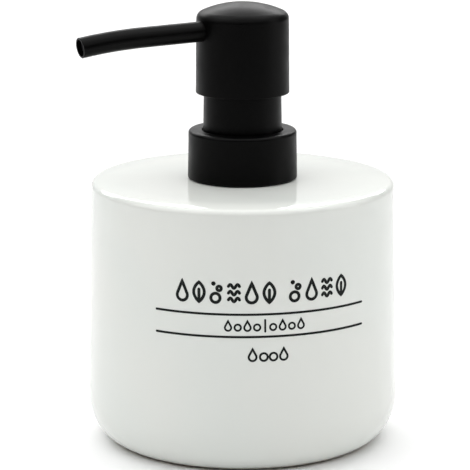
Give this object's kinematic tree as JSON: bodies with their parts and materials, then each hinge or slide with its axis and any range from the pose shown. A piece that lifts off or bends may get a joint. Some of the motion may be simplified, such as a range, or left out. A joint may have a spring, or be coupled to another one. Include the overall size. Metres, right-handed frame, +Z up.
{
  "type": "soap pump dispenser",
  "caption": "Squat round ceramic bottle with a screw-on lotion pump: domed press head, slender drooping spout, smooth collar and dip tube.",
  "frame": {"origin": "on the bottle's axis, on the plane that the foot ring stands on", "axes": "+Z up along the axis; the bottle's printed front faces -Y; the spout leads towards -X, turned 19 degrees towards the front at rest"},
  "size_m": [0.0962, 0.0926, 0.1309],
  "materials": {
    "glaze": "gloss",
    "black_coat": "satin",
    "black_moulding": "matte",
    "natural_moulding": "satin",
    "clear_tube": "satin",
    "soft_seal": "satin",
    "piston_plastic": "satin",
    "spring_steel": "drawn wire",
    "ball_steel": "polished",
    "print_ink": "screen print on the glaze"
  },
  "bodies": {
    "bottle": {"bottle": "glaze"},
    "adapter": {"neck_adapter": "natural_moulding", "plug_seal": "soft_seal"},
    "pump_frame": {"pump_housing": "natural_moulding", "neck_gasket": "soft_seal", "guide_bush": "natural_moulding", "stem_wiper": "soft_seal", "ball_cage": "natural_moulding", "return_spring": "spring_steel", "dip_tube": "clear_tube"},
    "closure": {"closure_cap": "black_moulding", "collar_shell": "black_coat", "neck_sleeve": "black_coat"},
    "plunger": {"stem": "natural_moulding", "piston_rod": "natural_moulding", "piston": "piston_plastic"},
    "head": {"head_shell": "black_coat", "actuator_core": "black_moulding", "spout_tube": "black_coat", "spout_liner": "clear_tube"},
    "inlet_valve": {"inlet_ball": "ball_steel"},
    "outlet_valve": {"outlet_ball": "ball_steel"}
  },
  "joints": [
    {"name": "pump_lift_out", "type": "slide", "parent": "bottle", "child": "adapter", "axis": [0, 0, 1], "range_m": [0, 0.075]},
    {"name": "closure_rise", "type": "slide", "parent": "adapter", "child": "pump_frame", "axis": [0, 0, 1], "range_m": [0, 0.0053]},
    {"name": "closure_turn", "type": "hinge", "parent": "pump_frame", "child": "closure", "pos_m": [0, 0, 0.0861], "axis": [0, 0, 1], "range_deg": [0, 450]},
    {"name": "pump_stroke", "type": "slide", "parent": "pump_frame", "child": "plunger", "axis": [0, 0, -1], "range_m": [0, 0.01], "stiffness_N_per_m": 900, "springref_m": -0.008, "deforming": ["return_spring"]},
    {"name": "head_swivel", "type": "hinge", "parent": "plunger", "child": "head", "pos_m": [0, 0, 0.117], "axis": [0, 0, 1], "continuous": true},
    {"name": "inlet_ball_lift", "type": "slide", "parent": "pump_frame", "child": "inlet_valve", "axis": [0, 0, 1], "range_m": [0, 0.0015]},
    {"name": "outlet_ball_lift", "type": "slide", "parent": "plunger", "child": "outlet_valve", "axis": [0, 0, 1], "range_m": [0, 0.001]}
  ],
  "couplings": [
    {"joint": "closure_rise", "follows": "closure_turn", "m_per_rad": 0.00067377}
  ]
}
